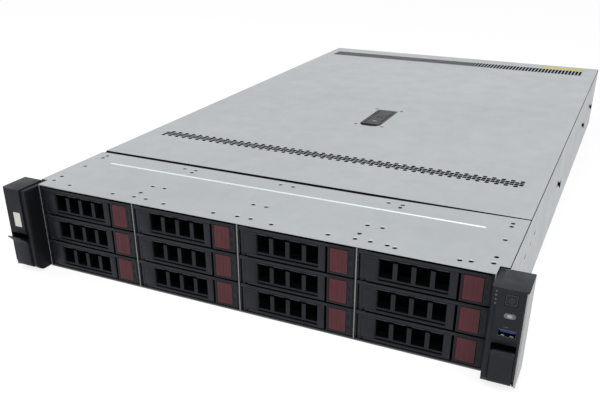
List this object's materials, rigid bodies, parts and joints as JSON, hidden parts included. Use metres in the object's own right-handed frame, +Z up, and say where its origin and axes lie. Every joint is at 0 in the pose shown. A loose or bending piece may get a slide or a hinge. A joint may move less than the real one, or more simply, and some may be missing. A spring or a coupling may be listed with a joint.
{
  "type": "storage server",
  "caption": "Two-unit rack storage server with hot-swap drive trays, latched ears, a sliding vented cover, fans and plug-in power supplies.",
  "frame": {"origin": "bottom centre of the overall box, on the surface the server rests on", "axes": "+X to the right as seen from the front, +Y from the tray fronts towards the rear wall, +Z up"},
  "size_m": [0.4826, 0.825, 0.086],
  "materials": {
    "galvanised_steel": "galvanised sheet, softly mottled",
    "black_plastic": "moulded, fine satin",
    "grille_plastic": "moulded, satin",
    "red_plastic": "moulded, satin",
    "ear_plastic": "moulded, satin",
    "pale_button": "translucent, satin",
    "circuit_board": "solder mask",
    "port_metal": "nickel plated",
    "supply_case": "plain sheet"
  },
  "bodies": {
    "base": {"chassis_base": "galvanised_steel", "front_deck": "galvanised_steel", "drive_cage": "galvanised_steel", "backplane": "circuit_board", "rear_panel": "galvanised_steel", "ear_left": "ear_plastic", "ear_right": "ear_plastic", "usb_port": "port_metal", "fan_wall": "black_plastic", "motherboard": "circuit_board", "air_baffle": "black_plastic"},
    "cover": {"top_cover": "galvanised_steel", "latch_cup": "black_plastic"},
    "cover_handle": {"latch_handle": "black_plastic"},
    "left_latch": {"ear_latch_left": "black_plastic"},
    "right_latch": {"ear_latch_right": "black_plastic"},
    "power_key": {"power_button": "black_plastic"},
    "uid_key": {"uid_button": "pale_button"},
    "rotor_1": {"fan_rotor_1": "black_plastic"},
    "rotor_2": {"fan_rotor_2": "black_plastic"},
    "rotor_3": {"fan_rotor_3": "black_plastic"},
    "rotor_4": {"fan_rotor_4": "black_plastic"},
    "supply_1": {"psu_1": "supply_case"},
    "supply_2": {"psu_2": "supply_case"},
    "drive_01_tray": {"drive_01_carrier": "black_plastic"},
    "drive_01_arm": {"drive_01_lever": "grille_plastic"},
    "drive_01_key": {"drive_01_button": "red_plastic"},
    "drive_02_tray": {"drive_02_carrier": "black_plastic"},
    "drive_02_arm": {"drive_02_lever": "grille_plastic"},
    "drive_02_key": {"drive_02_button": "red_plastic"},
    "drive_03_tray": {"drive_03_carrier": "black_plastic"},
    "drive_03_arm": {"drive_03_lever": "grille_plastic"},
    "drive_03_key": {"drive_03_button": "red_plastic"},
    "drive_04_tray": {"drive_04_carrier": "black_plastic"},
    "drive_04_arm": {"drive_04_lever": "grille_plastic"},
    "drive_04_key": {"drive_04_button": "red_plastic"},
    "drive_05_tray": {"drive_05_carrier": "black_plastic"},
    "drive_05_arm": {"drive_05_lever": "grille_plastic"},
    "drive_05_key": {"drive_05_button": "red_plastic"},
    "drive_06_tray": {"drive_06_carrier": "black_plastic"},
    "drive_06_arm": {"drive_06_lever": "grille_plastic"},
    "drive_06_key": {"drive_06_button": "red_plastic"},
    "drive_07_tray": {"drive_07_carrier": "black_plastic"},
    "drive_07_arm": {"drive_07_lever": "grille_plastic"},
    "drive_07_key": {"drive_07_button": "red_plastic"},
    "drive_08_tray": {"drive_08_carrier": "black_plastic"},
    "drive_08_arm": {"drive_08_lever": "grille_plastic"},
    "drive_08_key": {"drive_08_button": "red_plastic"},
    "drive_09_tray": {"drive_09_carrier": "black_plastic"},
    "drive_09_arm": {"drive_09_lever": "grille_plastic"},
    "drive_09_key": {"drive_09_button": "red_plastic"},
    "drive_10_tray": {"drive_10_carrier": "black_plastic"},
    "drive_10_arm": {"drive_10_lever": "grille_plastic"},
    "drive_10_key": {"drive_10_button": "red_plastic"},
    "drive_11_tray": {"drive_11_carrier": "black_plastic"},
    "drive_11_arm": {"drive_11_lever": "grille_plastic"},
    "drive_11_key": {"drive_11_button": "red_plastic"},
    "drive_12_tray": {"drive_12_carrier": "black_plastic"},
    "drive_12_arm": {"drive_12_lever": "grille_plastic"},
    "drive_12_key": {"drive_12_button": "red_plastic"}
  },
  "joints": [
    {"name": "cover_slide", "type": "slide", "parent": "base", "child": "cover", "axis": [0, 1, 0], "range_m": [0, 0.012]},
    {"name": "cover_latch_lift", "type": "hinge", "parent": "cover", "child": "cover_handle", "pos_m": [0, 0.005, 0.0835], "axis": [-1, 0, 0], "range_deg": [0, 90]},
    {"name": "ear_latch_left_tilt", "type": "hinge", "parent": "base", "child": "left_latch", "pos_m": [-0.23025, -0.4005, 0.01], "axis": [1, 0, 0], "range_deg": [0, 60]},
    {"name": "ear_latch_right_tilt", "type": "hinge", "parent": "base", "child": "right_latch", "pos_m": [0.23025, -0.4005, 0.01], "axis": [1, 0, 0], "range_deg": [0, 60]},
    {"name": "power_press", "type": "slide", "parent": "base", "child": "power_key", "axis": [0, 1, 0], "range_m": [0, 0.001], "stiffness_N_per_m": 300, "springref_m": -0.002},
    {"name": "uid_press", "type": "slide", "parent": "base", "child": "uid_key", "axis": [0, 1, 0], "range_m": [0, 0.0008], "stiffness_N_per_m": 300, "springref_m": -0.002},
    {"name": "fan_1_spin", "type": "hinge", "parent": "base", "child": "rotor_1", "pos_m": [-0.1575, -0.1629, 0.04205], "axis": [0, 1, 0], "continuous": true},
    {"name": "fan_2_spin", "type": "hinge", "parent": "base", "child": "rotor_2", "pos_m": [-0.0525, -0.1629, 0.04205], "axis": [0, 1, 0], "continuous": true},
    {"name": "fan_3_spin", "type": "hinge", "parent": "base", "child": "rotor_3", "pos_m": [0.0525, -0.1629, 0.04205], "axis": [0, 1, 0], "continuous": true},
    {"name": "fan_4_spin", "type": "hinge", "parent": "base", "child": "rotor_4", "pos_m": [0.1575, -0.1629, 0.04205], "axis": [0, 1, 0], "continuous": true},
    {"name": "psu_1_slide", "type": "slide", "parent": "base", "child": "supply_1", "axis": [0, 1, 0], "range_m": [0, 0.175]},
    {"name": "psu_2_slide", "type": "slide", "parent": "base", "child": "supply_2", "axis": [0, 1, 0], "range_m": [0, 0.175]},
    {"name": "drive_01_slide", "type": "slide", "parent": "base", "child": "drive_01_tray", "axis": [0, -1, 0], "range_m": [0, 0.155]},
    {"name": "drive_01_lever_swing", "type": "hinge", "parent": "drive_01_tray", "child": "drive_01_arm", "pos_m": [-0.2093, -0.3825, 0.0576], "axis": [0, 0, -1], "range_deg": [0, 50]},
    {"name": "drive_01_button_press", "type": "slide", "parent": "drive_01_tray", "child": "drive_01_key", "axis": [0, 1, 0], "range_m": [0, 0.0015], "stiffness_N_per_m": 300, "springref_m": -0.002},
    {"name": "drive_02_slide", "type": "slide", "parent": "base", "child": "drive_02_tray", "axis": [0, -1, 0], "range_m": [0, 0.155]},
    {"name": "drive_02_lever_swing", "type": "hinge", "parent": "drive_02_tray", "child": "drive_02_arm", "pos_m": [-0.1021, -0.3825, 0.0576], "axis": [0, 0, -1], "range_deg": [0, 50]},
    {"name": "drive_02_button_press", "type": "slide", "parent": "drive_02_tray", "child": "drive_02_key", "axis": [0, 1, 0], "range_m": [0, 0.0015], "stiffness_N_per_m": 300, "springref_m": -0.002},
    {"name": "drive_03_slide", "type": "slide", "parent": "base", "child": "drive_03_tray", "axis": [0, -1, 0], "range_m": [0, 0.155]},
    {"name": "drive_03_lever_swing", "type": "hinge", "parent": "drive_03_tray", "child": "drive_03_arm", "pos_m": [0.0051, -0.3825, 0.0576], "axis": [0, 0, -1], "range_deg": [0, 50]},
    {"name": "drive_03_button_press", "type": "slide", "parent": "drive_03_tray", "child": "drive_03_key", "axis": [0, 1, 0], "range_m": [0, 0.0015], "stiffness_N_per_m": 300, "springref_m": -0.002},
    {"name": "drive_04_slide", "type": "slide", "parent": "base", "child": "drive_04_tray", "axis": [0, -1, 0], "range_m": [0, 0.155]},
    {"name": "drive_04_lever_swing", "type": "hinge", "parent": "drive_04_tray", "child": "drive_04_arm", "pos_m": [0.1123, -0.3825, 0.0576], "axis": [0, 0, -1], "range_deg": [0, 50]},
    {"name": "drive_04_button_press", "type": "slide", "parent": "drive_04_tray", "child": "drive_04_key", "axis": [0, 1, 0], "range_m": [0, 0.0015], "stiffness_N_per_m": 300, "springref_m": -0.002},
    {"name": "drive_05_slide", "type": "slide", "parent": "base", "child": "drive_05_tray", "axis": [0, -1, 0], "range_m": [0, 0.155]},
    {"name": "drive_05_lever_swing", "type": "hinge", "parent": "drive_05_tray", "child": "drive_05_arm", "pos_m": [-0.2093, -0.3825, 0.0304], "axis": [0, 0, -1], "range_deg": [0, 50]},
    {"name": "drive_05_button_press", "type": "slide", "parent": "drive_05_tray", "child": "drive_05_key", "axis": [0, 1, 0], "range_m": [0, 0.0015], "stiffness_N_per_m": 300, "springref_m": -0.002},
    {"name": "drive_06_slide", "type": "slide", "parent": "base", "child": "drive_06_tray", "axis": [0, -1, 0], "range_m": [0, 0.155]},
    {"name": "drive_06_lever_swing", "type": "hinge", "parent": "drive_06_tray", "child": "drive_06_arm", "pos_m": [-0.1021, -0.3825, 0.0304], "axis": [0, 0, -1], "range_deg": [0, 50]},
    {"name": "drive_06_button_press", "type": "slide", "parent": "drive_06_tray", "child": "drive_06_key", "axis": [0, 1, 0], "range_m": [0, 0.0015], "stiffness_N_per_m": 300, "springref_m": -0.002},
    {"name": "drive_07_slide", "type": "slide", "parent": "base", "child": "drive_07_tray", "axis": [0, -1, 0], "range_m": [0, 0.155]},
    {"name": "drive_07_lever_swing", "type": "hinge", "parent": "drive_07_tray", "child": "drive_07_arm", "pos_m": [0.0051, -0.3825, 0.0304], "axis": [0, 0, -1], "range_deg": [0, 50]},
    {"name": "drive_07_button_press", "type": "slide", "parent": "drive_07_tray", "child": "drive_07_key", "axis": [0, 1, 0], "range_m": [0, 0.0015], "stiffness_N_per_m": 300, "springref_m": -0.002},
    {"name": "drive_08_slide", "type": "slide", "parent": "base", "child": "drive_08_tray", "axis": [0, -1, 0], "range_m": [0, 0.155]},
    {"name": "drive_08_lever_swing", "type": "hinge", "parent": "drive_08_tray", "child": "drive_08_arm", "pos_m": [0.1123, -0.3825, 0.0304], "axis": [0, 0, -1], "range_deg": [0, 50]},
    {"name": "drive_08_button_press", "type": "slide", "parent": "drive_08_tray", "child": "drive_08_key", "axis": [0, 1, 0], "range_m": [0, 0.0015], "stiffness_N_per_m": 300, "springref_m": -0.002},
    {"name": "drive_09_slide", "type": "slide", "parent": "base", "child": "drive_09_tray", "axis": [0, -1, 0], "range_m": [0, 0.155]},
    {"name": "drive_09_lever_swing", "type": "hinge", "parent": "drive_09_tray", "child": "drive_09_arm", "pos_m": [-0.2093, -0.3825, 0.0032], "axis": [0, 0, -1], "range_deg": [0, 50]},
    {"name": "drive_09_button_press", "type": "slide", "parent": "drive_09_tray", "child": "drive_09_key", "axis": [0, 1, 0], "range_m": [0, 0.0015], "stiffness_N_per_m": 300, "springref_m": -0.002},
    {"name": "drive_10_slide", "type": "slide", "parent": "base", "child": "drive_10_tray", "axis": [0, -1, 0], "range_m": [0, 0.155]},
    {"name": "drive_10_lever_swing", "type": "hinge", "parent": "drive_10_tray", "child": "drive_10_arm", "pos_m": [-0.1021, -0.3825, 0.0032], "axis": [0, 0, -1], "range_deg": [0, 50]},
    {"name": "drive_10_button_press", "type": "slide", "parent": "drive_10_tray", "child": "drive_10_key", "axis": [0, 1, 0], "range_m": [0, 0.0015], "stiffness_N_per_m": 300, "springref_m": -0.002},
    {"name": "drive_11_slide", "type": "slide", "parent": "base", "child": "drive_11_tray", "axis": [0, -1, 0], "range_m": [0, 0.155]},
    {"name": "drive_11_lever_swing", "type": "hinge", "parent": "drive_11_tray", "child": "drive_11_arm", "pos_m": [0.0051, -0.3825, 0.0032], "axis": [0, 0, -1], "range_deg": [0, 50]},
    {"name": "drive_11_button_press", "type": "slide", "parent": "drive_11_tray", "child": "drive_11_key", "axis": [0, 1, 0], "range_m": [0, 0.0015], "stiffness_N_per_m": 300, "springref_m": -0.002},
    {"name": "drive_12_slide", "type": "slide", "parent": "base", "child": "drive_12_tray", "axis": [0, -1, 0], "range_m": [0, 0.155]},
    {"name": "drive_12_lever_swing", "type": "hinge", "parent": "drive_12_tray", "child": "drive_12_arm", "pos_m": [0.1123, -0.3825, 0.0032], "axis": [0, 0, -1], "range_deg": [0, 50]},
    {"name": "drive_12_button_press", "type": "slide", "parent": "drive_12_tray", "child": "drive_12_key", "axis": [0, 1, 0], "range_m": [0, 0.0015], "stiffness_N_per_m": 300, "springref_m": -0.002}
  ],
  "couplings": [
    {"joint": "cover_latch_lift", "follows": "cover_slide", "rad_per_m": 130.8}
  ]
}
